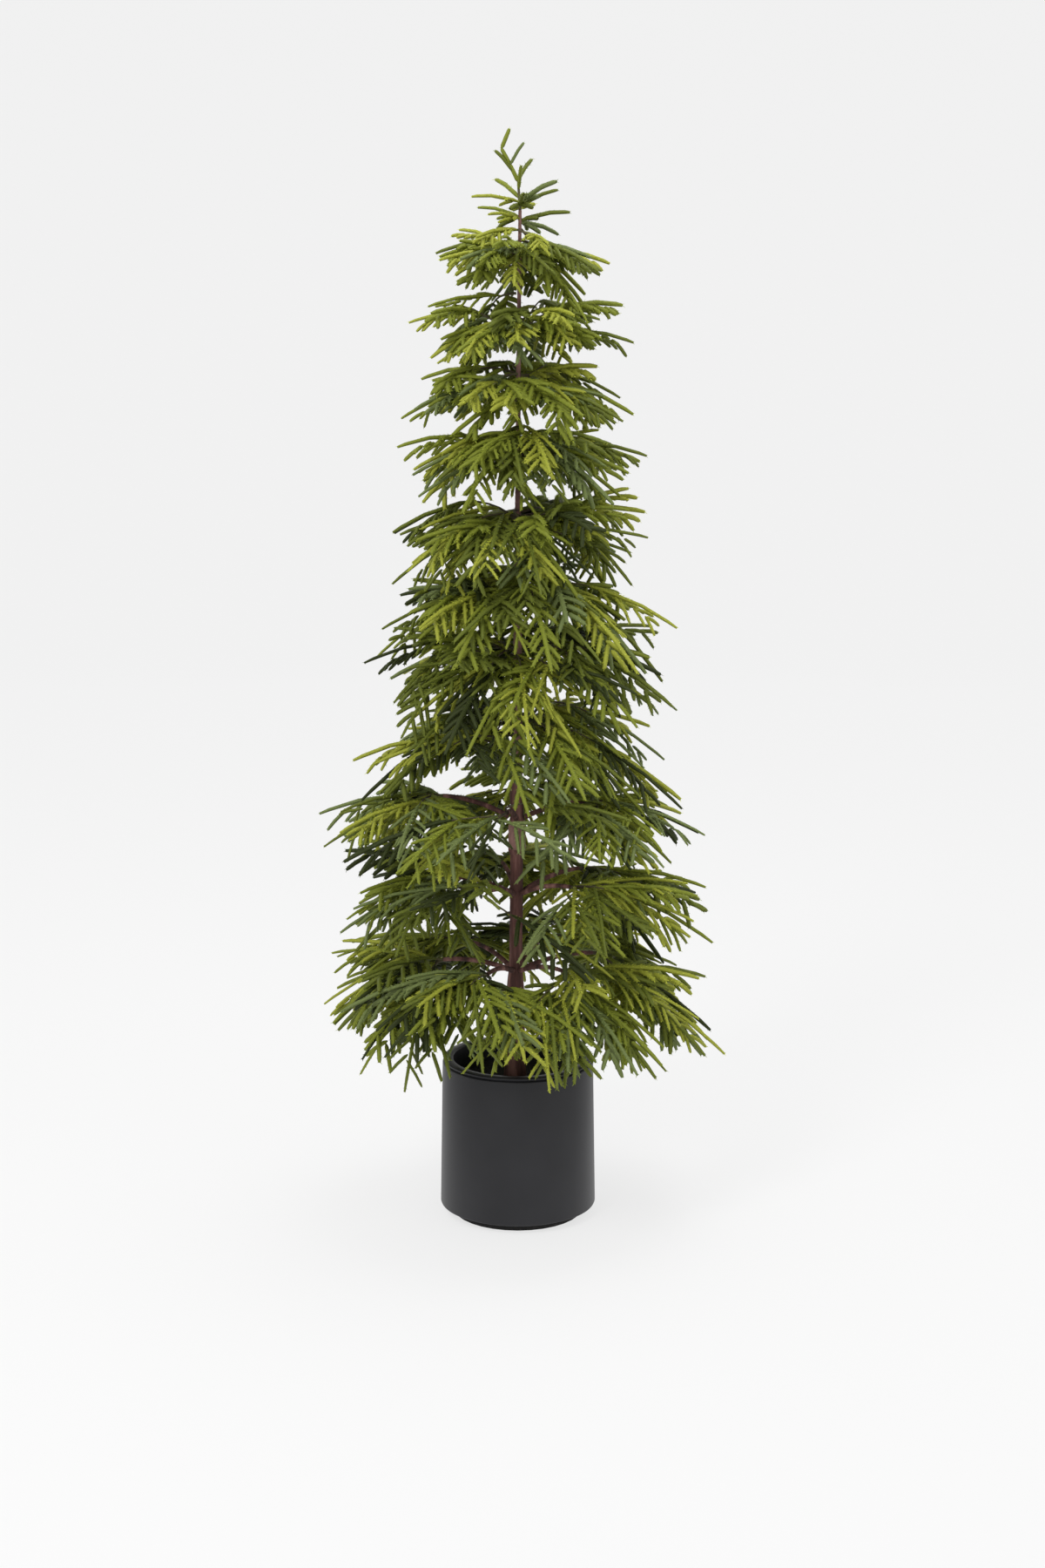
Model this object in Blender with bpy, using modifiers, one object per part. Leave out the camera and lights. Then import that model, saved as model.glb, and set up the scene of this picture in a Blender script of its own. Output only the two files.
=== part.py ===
"""An artificial pine tree, 1.83 m tall, standing in a round charcoal pot.

Metres, +Z up. The origin is the centre of the pot's flat underside, and -Y is the front.
Each tier of branches has a few boughs or direct stems, and each carries one mass of needle
sprays: twigs and toothed blades that branch by a seeded rule and are joined by one union.
"""

import math
import random
from collections import namedtuple

import bmesh
import bpy
from mathutils import Matrix, Vector
from mathutils.bvhtree import BVHTree

# Clearance between touching pieces, and between a mass and what it passes
GAP = 0.0003
CLEARANCE = 0.003

# Pot: a turned shell with a grooved rim, a recessed foot and a dark filling
POT_HEIGHT = 0.275
POT_RIM_RADIUS = 0.1300
POT_BASE_RADIUS = 0.1346
POT_MOUTH_RADIUS = 0.1118
POT_FLOOR = 0.012
POT_EDGE = 0.0015
RIM_LIP_HEIGHT = 0.0035
RIM_LIP_INSET = 0.0015
RIM_GROOVE_HEIGHT = 0.0025
RIM_GROOVE_DEPTH = 0.0045
POT_STEPS = 32
FOOT_RADIUS = 0.1120
FOOT_HEIGHT = 0.0150
FILL_TOP = 0.240

# Trunk: radius by height, and where its centre lies
TREE_HEIGHT = 1.832
TRUNK_FOOT = FILL_TOP + GAP
TRUNK_TOP = 1.700
TRUNK_PROFILE = (
    (TRUNK_FOOT, 0.0210),
    (0.270, 0.0178),
    (0.330, 0.0160),
    (0.400, 0.0150),
    (0.432, 0.0118),
    (0.560, 0.0108),
    (0.630, 0.0110),
    (0.642, 0.0152),
    (0.688, 0.0148),
    (0.700, 0.0112),
    (0.735, 0.0122),
    (0.760, 0.0092),
    (1.000, 0.0074),
    (1.260, 0.0046),
    (1.500, 0.0036),
    (TRUNK_TOP, 0.0028),
)
TRUNK_SWAY = 0.001
TRUNK_BASE_X = -0.004
TRUNK_LEAN = 0.008
TRUNK_PLUMB_TO = 0.400
TRUNK_SIDES_SETTING = 3

# Tiers of branches, lowest first. height: where they leave the trunk; count: masses in the
# tier; turn: azimuth of the first, in degrees; left, right: how far the tips reach at -X and
# +X; rise: slope at the trunk; drop: how far the tips end below the root; spray: length of one
# blade; fans: twigs that leave each stem; pairs: blade pairs on each of them; bough: whether a
# bough carries the mass
Tier = namedtuple("Tier", "height count turn left right rise drop spray fans pairs bough")
TIERS = (
    Tier(0.425, 6, 8, 0.348, 0.372, 0.50, 0.100, 0.185, 1, 2, True),
    Tier(0.560, 5, 30, 0.310, 0.345, 0.55, 0.070, 0.185, 1, 2, True),
    Tier(0.690, 4, -8, 0.352, 0.320, 0.60, 0.060, 0.180, 3, 1, True),
    Tier(0.815, 4, 35, 0.290, 0.290, 0.70, 0.070, 0.175, 1, 2, False),
    Tier(0.935, 3, 5, 0.280, 0.280, 0.80, 0.080, 0.170, 3, 1, False),
    Tier(1.055, 3, 60, 0.255, 0.268, 0.80, 0.080, 0.165, 3, 1, False),
    Tier(1.170, 3, 10, 0.235, 0.250, 0.80, 0.085, 0.155, 3, 1, False),
    Tier(1.285, 3, 65, 0.220, 0.230, 0.80, 0.075, 0.145, 3, 1, False),
    Tier(1.395, 3, 0, 0.205, 0.215, 0.80, 0.060, 0.135, 3, 1, False),
    Tier(1.500, 3, 60, 0.195, 0.195, 0.80, 0.055, 0.125, 3, 1, False),
    Tier(1.600, 3, 20, 0.150, 0.165, 0.80, 0.025, 0.105, 3, 1, False),
)
HEADROOM = 0.28
LOWEST_TIP = 0.176
BOUGH_SHARE = 0.36
BOUGH_STEPS = 3
BOUGH_SIDES_SETTING = 1
BOUGH_ROOT_RADIUS = 0.0048
BOUGH_TIP_RADIUS = 0.0034
BOUGH_CLEARANCE = 0.008
COLLAR_RUN = 0.008
STEM_RADIUS = 0.0036
TWIG_TIP_RADIUS = 0.0030
FORK_RUN = 0.014
FAN_RUN = 0.070
FAN_SPREAD = 0.66
TWIG_STEP = 0.06
TIP_SUNK = 0.004
SPRAY_PAST_TWIG = 0.78
SIDE_DROOP = (0.35, 0.95)
LOUVRE = 8
MOST_SPREAD = math.radians(52)

# One blade stands for a spray: fingers in pairs along its middle, and one at its end
FINGER_PAIRS = 2
FINGER_ANGLE = math.radians(38)
FIRST_FINGER = 0.22
FINGER_STEP = 0.26
FINGER_LENGTH = 0.46
FINGER_SHRINK = 0.90
FINGER_DROOP = 0.35
MIDRIB_WIDTH = 0.08
RIB_THICKNESS = 0.050
ROOT_HALF_WIDTH = 0.0007
ROOT_THICKNESS = 0.0010
SPRAY_SAG = 0.16
SPRAY_TRIES = 8
SHRINK_A_TRY = 0.03
MOST_CROSSINGS = 0

# The dense middle of a mass, as shares of its tier's reach, and its section: across and up
CORE_START = 0.16
CORE_END = 0.68
CORE_SHARE_OF_SECTOR = 0.9
CORE_WIDTH = 0.28
CORE_DEPTH = 0.27
CORE_RISE = 0.03
CORE_STATIONS = 3
CORE_SECTION = ((0.0, 0.11), (0.5, 0.01), (0.40, -0.70), (0.0, -1.0), (-0.40, -0.70), (-0.5, 0.01))

# Leader: the shoot above the trunk, which bends to the left before its tip
LEADER_BEND = ((0.004, TRUNK_TOP + GAP), (0.001, 1.745), (-0.012, 1.772), (-0.026, 1.797))
LEADER_TIP = (-0.013, TREE_HEIGHT)
LEADER_SPRAYS = 8
LEADER_SPRAY = 0.078
LEADER_TURN = math.radians(137.5)


def clear_scene():
    for scene_object in list(bpy.data.objects):
        bpy.data.objects.remove(scene_object, do_unlink=True)


def make_material(name, colour, roughness, metallic=0.0):
    material = bpy.data.materials.new(name)
    material.use_nodes = True
    shader = material.node_tree.nodes["Principled BSDF"]
    shader.inputs["Base Color"].default_value = (*colour, 1.0)
    shader.inputs["Roughness"].default_value = roughness
    shader.inputs["Metallic"].default_value = metallic
    return material


def add_object(name, data, material, collection, parent=None):
    data.materials.append(material)
    added = bpy.data.objects.new(name, data)
    collection.objects.link(added)
    added.parent = parent
    return added


def turned(name, profile, material, collection, parent):
    """A closed profile of (radius, height) points, outer side first and downwards, turned round Z."""
    mesh = bpy.data.meshes.new(name)
    edges = [(i, i + 1) for i in range(len(profile) - 1)]
    mesh.from_pydata([(radius, 0.0, height) for radius, height in profile], edges, [])
    piece = add_object(name, mesh, material, collection, parent)
    screw = piece.modifiers.new("Turn", "SCREW")
    screw.steps = POT_STEPS
    screw.render_steps = POT_STEPS
    screw.use_merge_vertices = True
    screw.merge_threshold = 0.0001
    screw.use_smooth_shade = False
    return piece


def build_pot(material, collection, parent):
    """Shell with a floor; under the lip of the rim a groove runs round."""
    lip_radius = POT_RIM_RADIUS - RIM_LIP_INSET
    lip_bottom = POT_HEIGHT - RIM_LIP_HEIGHT
    wall_top = lip_bottom - RIM_GROOVE_HEIGHT
    groove_radius = POT_RIM_RADIUS - RIM_GROOVE_DEPTH
    profile = (
        (POT_MOUTH_RADIUS + POT_EDGE, POT_HEIGHT),
        (lip_radius - POT_EDGE, POT_HEIGHT),
        (lip_radius, POT_HEIGHT - POT_EDGE),
        (lip_radius, lip_bottom),
        (groove_radius, lip_bottom),
        (groove_radius, wall_top),
        (POT_RIM_RADIUS - POT_EDGE, wall_top),
        (POT_RIM_RADIUS, wall_top - POT_EDGE),
        (POT_BASE_RADIUS, FOOT_HEIGHT + 2 * POT_EDGE),
        (POT_BASE_RADIUS - 2 * POT_EDGE, FOOT_HEIGHT),
        (0.0, FOOT_HEIGHT),
    )
    inside = (
        (0.0, FOOT_HEIGHT + POT_FLOOR),
        (POT_MOUTH_RADIUS, FOOT_HEIGHT + POT_FLOOR),
        (POT_MOUTH_RADIUS, POT_HEIGHT - POT_EDGE),
        (POT_MOUTH_RADIUS + POT_EDGE, POT_HEIGHT),
    )
    return turned("pot_body", profile + inside, material, collection, parent)


def build_disc(name, radius, low, high, material, collection, parent):
    mesh = bpy.data.meshes.new(name)
    cylinder = bmesh.new()
    bmesh.ops.create_cone(
        cylinder, cap_ends=True, segments=POT_STEPS, radius1=radius, radius2=radius, depth=high - low
    )
    bmesh.ops.translate(cylinder, verts=cylinder.verts, vec=(0, 0, (high + low) / 2))
    cylinder.to_mesh(mesh)
    cylinder.free()
    return add_object(name, mesh, material, collection, parent)


def trunk_radius(height):
    for (low, low_radius), (high, high_radius) in zip(TRUNK_PROFILE, TRUNK_PROFILE[1:]):
        if height <= high:
            share = max(0.0, (height - low) / (high - low))
            return low_radius + share * (high_radius - low_radius)
    return TRUNK_PROFILE[-1][1]


def trunk_centre(height):
    """The trunk leans a little to the right as it rises, with a slight sway, from a plumb foot."""
    share = min(max((height - TRUNK_PLUMB_TO) / (TRUNK_TOP - TRUNK_PLUMB_TO), 0.0), 1.0)
    x = TRUNK_BASE_X + TRUNK_LEAN * share + TRUNK_SWAY * math.sin(2 * math.pi * share)
    return Vector((x, 0.0, height))


def tube(name, points, radii, sides_setting, material, collection, parent):
    """A tapering limb: a poly curve with a round bevel and filled caps."""
    curve = bpy.data.curves.new(name, "CURVE")
    curve.dimensions = "3D"
    curve.bevel_depth = 1.0
    curve.bevel_resolution = sides_setting
    curve.use_fill_caps = True
    spline = curve.splines.new("POLY")
    spline.points.add(len(points) - 1)
    for point, place, radius in zip(spline.points, points, radii):
        point.co = (*place, 1.0)
        point.radius = radius
    return add_object(name, curve, material, collection, parent)


def build_trunk(material, collection, parent):
    points = [trunk_centre(height) for height, _ in TRUNK_PROFILE]
    radii = [radius for _, radius in TRUNK_PROFILE]
    return tube("trunk", points, radii, TRUNK_SIDES_SETTING, material, collection, parent)


def tier_reach(tier, azimuth):
    """Distance of the tips from the trunk's axis in one direction."""
    return (tier.right + tier.left) / 2 + math.cos(azimuth) * (tier.right - tier.left) / 2


def arch_height(tier, azimuth, run):
    """Height of a branch's line at a distance from the axis: it rises, arches over and droops."""
    reach = tier_reach(tier, azimuth)
    bend = (tier.rise * reach + tier.drop) / reach**2
    return tier.height + tier.rise * run - bend * run * run


def branch_point(tier, azimuth, run):
    height = arch_height(tier, azimuth, run)
    centre = trunk_centre(tier.height)
    return Vector((centre.x + run * math.cos(azimuth), run * math.sin(azimuth), height))


def ceiling(index, azimuth, run):
    """Top of a tier's space: above its own arch by a share of the way to the next tier's arch."""
    own = arch_height(TIERS[index], azimuth, run)
    if index + 1 == len(TIERS):
        return own + HEADROOM * (TRUNK_TOP - TIERS[index].height)
    above = arch_height(TIERS[index + 1], azimuth, run)
    return own + HEADROOM * max(above - own, 0.03)


def clear_of_pot(point):
    run = math.hypot(point.x, point.y)
    if point.z < FILL_TOP + CLEARANCE and run < POT_BASE_RADIUS:
        return False
    over_wall = POT_MOUTH_RADIUS - 2 * CLEARANCE < run < POT_BASE_RADIUS + 2 * CLEARANCE
    return point.z > LOWEST_TIP and not (over_wall and point.z < POT_HEIGHT + CLEARANCE)


def keeps_its_space(index, middle, half_width, points):
    """Whether the points lie in the mass's sector of its tier, clear of the trunk and the pot."""
    for point in points:
        centre = trunk_centre(point.z)
        run = math.hypot(point.x - centre.x, point.y)
        azimuth = math.atan2(point.y, point.x - centre.x)
        turn = abs((azimuth - middle + math.pi) % (2 * math.pi) - math.pi)
        if point.z < TRUNK_TOP and run < trunk_radius(point.z) + CLEARANCE:
            return False
        if half_width < math.pi and (turn > math.pi / 2 or run * math.sin(half_width - turn) < CLEARANCE / 2):
            return False
        if index < len(TIERS) and point.z > ceiling(index, azimuth, run) - CLEARANCE / 2:
            return False
        if index and point.z < ceiling(index - 1, azimuth, run) + CLEARANCE / 2:
            return False
        if not clear_of_pot(point):
            return False
    return True


def spray_outline(length):
    """Half outline and ribs of a blade, in its own frame: x along it, y to its side."""
    half_rib = MIDRIB_WIDTH * length / 2
    half_step = FINGER_STEP * length / 2
    bases = [(0.0, ROOT_HALF_WIDTH)]
    tips = []
    ribs = [(0.0, ROOT_THICKNESS)]
    for pair in range(FINGER_PAIRS):
        start = (FIRST_FINGER + pair * FINGER_STEP) * length
        finger = FINGER_LENGTH * FINGER_SHRINK**pair * length
        bases.append((start - half_step, half_rib))
        tips.append((start + finger * math.cos(FINGER_ANGLE), finger * math.sin(FINGER_ANGLE)))
        ribs.append((start, RIB_THICKNESS * length))
    bases.append((bases[-1][0] + 2 * half_step, half_rib))
    return bases, tips, ribs


def blade_shape(length, frame):
    """Corners and faces of a toothed blade: flat below, a ridge along its middle and each finger."""
    bases, tips, ribs = spray_outline(length)
    corners = [(x, 0.0, thickness) for x, thickness in ribs] + [(length, 0.0, 0.0)]
    end = len(ribs)
    faces = []
    low = {}
    for side in (-1, 1):
        base = len(corners)
        corners += [(x, side * y, 0.0) for x, y in bases]
        tip = len(corners)
        corners += [(x, side * y, 0.0) for x, y in tips]
        low[side] = list(range(base, tip)) + [end]
        faces.append((0, base, base + 1, 1)[::side])
        for pair in range(FINGER_PAIRS):
            rear, front, rib = base + pair + 1, base + pair + 2, pair + 1
            faces.append((rib, rear, tip + pair)[::side])
            faces.append((rib, tip + pair, front)[::side])
            faces.append((rear, front, tip + pair)[::side])
            faces.append((rib, front, min(rib + 1, end))[::side])
    for step in range(FINGER_PAIRS + 1):
        faces.append((low[1][step], low[-1][step], low[-1][step + 1], low[1][step + 1]))
    faces.append((low[1][-2], low[-1][-2], end))
    faces.append((0, low[-1][0], low[1][0]))
    placed = []
    for x, y, z in corners:
        drop = SPRAY_SAG * x * x / length + FINGER_DROOP * max(0.0, abs(y) - bases[1][1])
        placed.append(frame @ Vector((x, y, z - drop)))
    return placed, faces


def finished_mesh(name, shape):
    """A mesh from a bmesh, as triangles that face out."""
    bmesh.ops.recalc_face_normals(shape, faces=shape.faces)
    bmesh.ops.triangulate(shape, faces=shape.faces)
    mesh = bpy.data.meshes.new(name)
    shape.to_mesh(mesh)
    shape.free()
    return mesh


def blade_mesh(name, length, frame):
    corners, faces = blade_shape(length, frame)
    blade = bmesh.new()
    verts = [blade.verts.new(corner) for corner in corners]
    for face in faces:
        blade.faces.new([verts[corner] for corner in face])
    return finished_mesh(name, blade)


def bridged(shape, rings):
    """Side faces between one ring of corners and the next."""
    for low, high in zip(rings, rings[1:]):
        for corner in range(len(low)):
            after = (corner + 1) % len(low)
            shape.faces.new((low[corner], low[after], high[after], high[corner]))


def twig_mesh(name, points, radii):
    """A three-sided twig: a ring of three at each point, bridged, with closed ends."""
    twig = bmesh.new()
    rings = []
    for step, (point, radius) in enumerate(zip(points, radii)):
        before = points[max(step - 1, 0)]
        after = points[min(step + 1, len(points) - 1)]
        turn = (after - before).to_track_quat("Z", "Y").to_matrix().to_4x4()
        place = Matrix.Translation(point) @ turn
        made = bmesh.ops.create_circle(twig, cap_ends=False, segments=3, radius=radius, matrix=place)
        rings.append(made["verts"])
    bridged(twig, rings)
    twig.faces.new(rings[0])
    twig.faces.new(rings[-1])
    return finished_mesh(name, twig)


def core_mesh(name, tier, middle, half_width, start_run):
    """The dense middle of a mass: a lens along its stem that hangs lower than it rises."""
    reach = tier_reach(tier, middle)
    width = min(reach * CORE_WIDTH, CORE_SHARE_OF_SECTOR * reach * math.sin(half_width))
    first = max(start_run + FORK_RUN, CORE_START * reach)
    last = CORE_END * reach
    across = Vector((-math.sin(middle), math.cos(middle), 0.0))
    core = bmesh.new()
    rings = []
    for station in range(CORE_STATIONS):
        run = first + (last - first) * station / (CORE_STATIONS - 1)
        point = branch_point(tier, middle, run)
        swell = math.sin(math.pi * (station + 0.5) / CORE_STATIONS) ** 0.7
        ring = []
        for side, up in CORE_SECTION:
            lift = (CORE_DEPTH if up < 0 else CORE_RISE / CORE_SECTION[0][1]) * up * reach
            ring.append(core.verts.new(point + swell * (across * side * width + Vector((0, 0, lift)))))
        rings.append(ring)
    bridged(core, rings)
    past = (last - first) / (2 * CORE_STATIONS)
    rear = max(first - past, start_run + FORK_RUN / 2)
    for ring, run in ((rings[0], rear), (rings[-1], last + 2 * past)):
        apex = core.verts.new(branch_point(tier, middle, run))
        for corner in range(len(ring)):
            core.faces.new((ring[corner], ring[(corner + 1) % len(ring)], apex))
    return finished_mesh(name, core)


def frame_along(root, direction, roll):
    """A blade's frame: x along its direction, z as near to up as that allows, then rolled."""
    ahead = direction.normalized()
    side = Vector((0, 0, 1)).cross(ahead).normalized()
    turn = Matrix((ahead, side, ahead.cross(side))).transposed().to_4x4()
    return Matrix.Translation(root) @ turn @ Matrix.Rotation(roll, 4, "X")


def fitting_spray(place, rng, root, direction, roll, length, bough_points, neighbours):
    """The first try at a blade that keeps its space and crosses no other one, or None."""
    for attempt in range(SPRAY_TRIES):
        share = 1.0 - SHRINK_A_TRY * attempt
        yaw = Matrix.Rotation(math.radians(rng.uniform(-3, 3) * attempt), 3, "Z")
        tried = yaw @ direction + Vector((0, 0, rng.uniform(-0.1, 0.1) * attempt))
        frame = frame_along(root, tried, roll + math.radians(rng.uniform(-14, 14)))
        corners, faces = blade_shape(length * share, frame)
        clear = all((point - other).length > BOUGH_CLEARANCE for point in corners for other in bough_points)
        if not clear or not keeps_its_space(*place, corners[1:]):
            continue
        blade = BVHTree.FromPolygons(corners, faces)
        if sum(len(blade.overlap(other)) for other in neighbours) <= MOST_CROSSINGS:
            neighbours.append(blade)
            return length * share, frame
    return None


def along(points, share):
    """Point at a share of the way along a twig's line, and the line's direction there."""
    lengths = [(high - low).length for low, high in zip(points, points[1:])]
    left = share * sum(lengths)
    for low, high, length in zip(points, points[1:], lengths):
        if left <= length:
            break
        left -= length
    heading = (high - low).normalized()
    return low + heading * min(left, length), heading


def twig_line(tier, rng, middle, offset, start_run, is_first):
    """Points of one twig of a stem: the first runs on from the stem's foot, the others from its fork."""
    fork_run = start_run + FORK_RUN
    end_run = tier_reach(tier, middle + offset) * rng.uniform(0.97, 1.0) - SPRAY_PAST_TWIG * tier.spray
    steps = max(2, round((end_run - fork_run) / TWIG_STEP))
    points = []
    for step in range(steps + 1):
        run = fork_run + (end_run - fork_run) * step / steps
        share = min((run - fork_run) / FAN_RUN, 1.0)
        points.append(branch_point(tier, middle + offset * share * (2 - share), run))
    foot = branch_point(tier, middle, start_run if is_first else fork_run - STEM_RADIUS)
    if is_first and not tier.bough:
        foot.z = points[0].z
    return [foot] + points


def grow_mass(index, middle, half_width, start_run, bough_points):
    """Twigs and sprays of one mass, all from one stem that starts at the given run."""
    tier = TIERS[index]
    rng = random.Random(1000 * index + round(math.degrees(middle)) % 360)
    place = (index, middle, half_width)
    twigs = []
    sprays = []
    neighbours = []
    for fan in range(tier.fans):
        offset = half_width * FAN_SPREAD * (2 * fan / (tier.fans - 1) - 1) if tier.fans > 1 else 0.0
        outward = 0 if abs(offset) < 0.1 else math.copysign(1, offset)
        offset += math.radians(rng.uniform(-3, 3))
        points = twig_line(tier, rng, middle, offset, start_run, fan == 0)
        twigs.append(points)
        stations = [(1.0, 0)]
        for pair in range(tier.pairs):
            stations += [((pair + 0.62 + 0.2 * side) / tier.pairs * 0.88, side) for side in (-1, 1)]
        for share, side in stations:
            root, heading = along(points, share)
            spread = rng.uniform(0.9, 1.2) * min(half_width * 1.15, MOST_SPREAD)
            direction = Matrix.Rotation(spread * side, 3, "Z") @ heading
            if not side:
                root = root - heading * TIP_SUNK
                direction.z -= rng.uniform(0.0, 0.25)
            elif side * outward < 0:
                direction.z -= rng.uniform(-0.1, 0.2)
            else:
                direction.z -= rng.uniform(*SIDE_DROOP)
            roll = math.radians(-side * LOUVRE)
            spray = fitting_spray(place, rng, root, direction, roll, tier.spray, bough_points, neighbours)
            if spray:
                sprays.append(spray)
    return twigs, sprays


def grow_leader():
    """The shoot above the trunk: its bent stem, sprays round it in a spiral, and one at its tip."""
    rng = random.Random(len(TIERS))
    place = (len(TIERS), 0.0, math.pi)
    points = [Vector((x, 0.0, z)) for x, z in LEADER_BEND]
    tip = Vector((LEADER_TIP[0], 0.0, LEADER_TIP[1]))
    root = points[-1] + (points[-2] - points[-1]).normalized() * TIP_SUNK
    sprays = [((tip - root).length, frame_along(root, tip - root, 0.0))]
    neighbours = []
    for number in range(LEADER_SPRAYS):
        share = 0.16 + 0.72 * number / LEADER_SPRAYS
        root, _ = along(points, share)
        azimuth = LEADER_TURN * number
        direction = Vector((math.cos(azimuth), math.sin(azimuth), 0.25 + 0.9 * share))
        length = LEADER_SPRAY * (1.0 - 0.45 * share)
        spray = fitting_spray(place, rng, root, direction, 0.0, length, [], neighbours)
        if spray:
            sprays.append(spray)
    return [points], sprays


def keep_largest_piece(mesh):
    """Drops the loose scraps of a mesh, and the needless corners that a union leaves on flat faces."""
    joined = bmesh.new()
    joined.from_mesh(mesh)
    left = set(joined.verts)
    pieces = []
    while left:
        piece = {left.pop()}
        border = set(piece)
        while border:
            border = {edge.other_vert(vert) for vert in border for edge in vert.link_edges} - piece
            piece |= border
        left -= piece
        pieces.append(piece)
    largest = max(pieces, key=len)
    scraps = [vert for vert in joined.verts if vert not in largest]
    bmesh.ops.delete(joined, geom=scraps, context="VERTS")
    bmesh.ops.dissolve_limit(
        joined, angle_limit=math.radians(0.3), verts=joined.verts, edges=joined.edges
    )
    joined.to_mesh(mesh)
    joined.free()


def join_mass(name, twigs, sprays, core, material, collection, parent):
    """One solid from the stem, the other twigs, the blades and the core, by one union."""
    loose = bpy.data.collections.new(name + "_loose")
    bpy.context.scene.collection.children.link(loose)
    meshes = []
    for points in twigs:
        taper = (TWIG_TIP_RADIUS - STEM_RADIUS) / (len(points) - 1)
        radii = [STEM_RADIUS + taper * step for step in range(len(points))]
        meshes.append(twig_mesh(name + "_twig", points, radii))
    meshes += [blade_mesh(name + "_blade", length, frame) for length, frame in sprays]
    meshes += core
    mass = add_object(name, meshes[0], material, collection, parent)
    for mesh in meshes[1:]:
        add_object(mesh.name, mesh, material, loose)
    union = mass.modifiers.new("Join", "BOOLEAN")
    union.operation = "UNION"
    union.operand_type = "COLLECTION"
    union.collection = loose
    graph = bpy.context.evaluated_depsgraph_get()
    joined = bpy.data.meshes.new_from_object(mass.evaluated_get(graph))
    mass.modifiers.remove(union)
    mass.data = joined
    keep_largest_piece(joined)
    for piece in list(loose.objects):
        bpy.data.objects.remove(piece, do_unlink=True)
    bpy.data.collections.remove(loose)


def build_bough(name, tier, middle, surface, end_run, material, collection, parent):
    """One tapering limb from the trunk's surface: level at its collar, then along the arch."""
    runs = [surface, surface + COLLAR_RUN]
    runs += [surface + (end_run - surface) * step / BOUGH_STEPS for step in range(1, BOUGH_STEPS + 1)]
    points = [branch_point(tier, middle, run) for run in runs]
    points[0].z = points[1].z
    radii = [BOUGH_ROOT_RADIUS + (BOUGH_TIP_RADIUS - BOUGH_ROOT_RADIUS) * run / end_run for run in runs]
    tube(name, points, radii, BOUGH_SIDES_SETTING, material, collection, parent)
    return points


def build_tier(index, tier, bark, green, collection, parent):
    half_width = math.pi / tier.count
    surface = trunk_radius(tier.height) + GAP
    for place in range(tier.count):
        middle = math.radians(tier.turn) + 2 * half_width * place
        label = f"tier{index + 1:02d}_{{}}{place + 1}"
        bough_points = []
        start_run = surface
        if tier.bough:
            end_run = BOUGH_SHARE * tier_reach(tier, middle)
            bough_points = build_bough(
                label.format("bough"), tier, middle, start_run, end_run, bark, collection, parent
            )[:-1]
            start_run = end_run + GAP
        twigs, sprays = grow_mass(index, middle, half_width, start_run, bough_points)
        core = []
        if index + 1 < len(TIERS):
            core.append(core_mesh("core", tier, middle, half_width, start_run))
        join_mass(label.format("mass"), twigs, sprays, core, green, collection, parent)


def main():
    clear_scene()
    tree = bpy.data.collections.new("potted_pine_tree")
    bpy.context.scene.collection.children.link(tree)
    root = bpy.data.objects.new("tree_root", None)
    tree.objects.link(root)
    charcoal = make_material("pot_charcoal", (0.035, 0.035, 0.038), 0.42)
    black = make_material("filling_black", (0.008, 0.008, 0.008), 0.95)
    bark = make_material("bark_brown", (0.16, 0.08, 0.065), 0.85)
    green = make_material("needle_green", (0.13, 0.20, 0.04), 0.60)
    build_pot(charcoal, tree, root)
    build_disc("pot_foot", FOOT_RADIUS, 0.0, FOOT_HEIGHT - GAP, black, tree, root)
    fill_bottom = FOOT_HEIGHT + POT_FLOOR + GAP
    build_disc("pot_fill", POT_MOUTH_RADIUS - GAP, fill_bottom, FILL_TOP, black, tree, root)
    build_trunk(bark, tree, root)
    for index, tier in enumerate(TIERS):
        build_tier(index, tier, bark, green, tree, root)
    twigs, sprays = grow_leader()
    join_mass("leader_mass", twigs, sprays, [], green, tree, root)


main()
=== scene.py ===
"""Looks of the artificial pine tree: bark, boughs, twigs, needles, pot, stage, light and camera.

Metres, +Z up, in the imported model's frame. Each mass of foliage is grown again here by the rule
that shaped its solid, and carried on to finer twigs and needles within the same reach.
"""

import math
import random
from collections import namedtuple

import bpy
import numpy as np
from mathutils import Matrix, Vector, noise


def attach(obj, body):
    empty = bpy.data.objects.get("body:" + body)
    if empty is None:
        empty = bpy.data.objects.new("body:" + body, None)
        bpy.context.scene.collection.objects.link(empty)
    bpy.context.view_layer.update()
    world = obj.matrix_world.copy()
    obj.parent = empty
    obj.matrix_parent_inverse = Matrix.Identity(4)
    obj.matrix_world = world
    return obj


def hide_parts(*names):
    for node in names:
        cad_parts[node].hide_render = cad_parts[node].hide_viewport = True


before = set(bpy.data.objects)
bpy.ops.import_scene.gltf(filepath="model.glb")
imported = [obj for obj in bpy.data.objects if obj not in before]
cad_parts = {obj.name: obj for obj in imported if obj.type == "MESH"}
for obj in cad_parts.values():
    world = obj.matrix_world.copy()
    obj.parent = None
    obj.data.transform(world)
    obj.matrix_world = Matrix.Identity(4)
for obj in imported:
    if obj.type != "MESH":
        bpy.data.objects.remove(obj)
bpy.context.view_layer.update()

# Clearances between touching pieces and round foliage, and how low foliage may hang
GAP = 0.0003
CLEARANCE = 0.003
LOWEST_TIP = 0.170

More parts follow.
